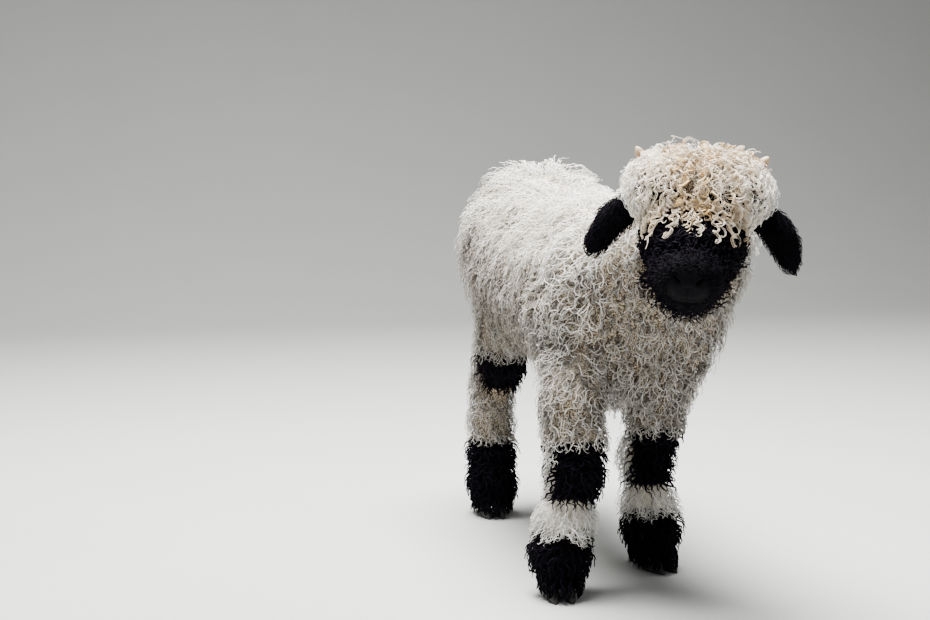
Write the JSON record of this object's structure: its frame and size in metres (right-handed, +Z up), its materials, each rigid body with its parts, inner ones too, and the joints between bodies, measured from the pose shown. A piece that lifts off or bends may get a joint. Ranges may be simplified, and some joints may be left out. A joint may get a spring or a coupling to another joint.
{
  "type": "valais blacknose lamb model",
  "caption": "Still, life-size model of a woolly white lamb with a black face, ears, knees, hocks and feet, standing with its head turned to its right.",
  "frame": {"origin": "on the floor, under the middle of the whole figure", "axes": "the lamb faces -Y and +Z is up, so its left side is at +X and its tail at +Y"},
  "size_m": [0.3178, 0.8998, 0.6263],
  "materials": {
    "fleece": "long curled wool, cream white and matte",
    "black_coat": "short curly black hair, matte",
    "hoof": "dark horn, dull",
    "horn": "young pinkish-tan horn, satin",
    "eye": "dark brown, wet and glossy"
  },
  "bodies": {
    "root": {"torso": "fleece", "neck": "fleece", "tail": "fleece", "head": "black_coat", "ear_left": "black_coat", "ear_right": "black_coat", "horn_left": "horn", "horn_right": "horn", "eye_left": "eye", "eye_right": "eye", "foreleg_left_forearm": "fleece", "foreleg_left_knee": "black_coat", "foreleg_left_cannon": "fleece", "foreleg_left_foot": "black_coat", "foreleg_left_claw_inner": "hoof", "foreleg_left_claw_outer": "hoof", "foreleg_right_forearm": "fleece", "foreleg_right_knee": "black_coat", "foreleg_right_cannon": "fleece", "foreleg_right_foot": "black_coat", "foreleg_right_claw_inner": "hoof", "foreleg_right_claw_outer": "hoof", "hindleg_left_thigh": "fleece", "hindleg_left_hock": "black_coat", "hindleg_left_cannon": "fleece", "hindleg_left_foot": "black_coat", "hindleg_left_claw_inner": "hoof", "hindleg_left_claw_outer": "hoof", "hindleg_right_thigh": "fleece", "hindleg_right_hock": "black_coat", "hindleg_right_cannon": "fleece", "hindleg_right_foot": "black_coat", "hindleg_right_claw_inner": "hoof", "hindleg_right_claw_outer": "hoof"}
  },
  "joints": []
}
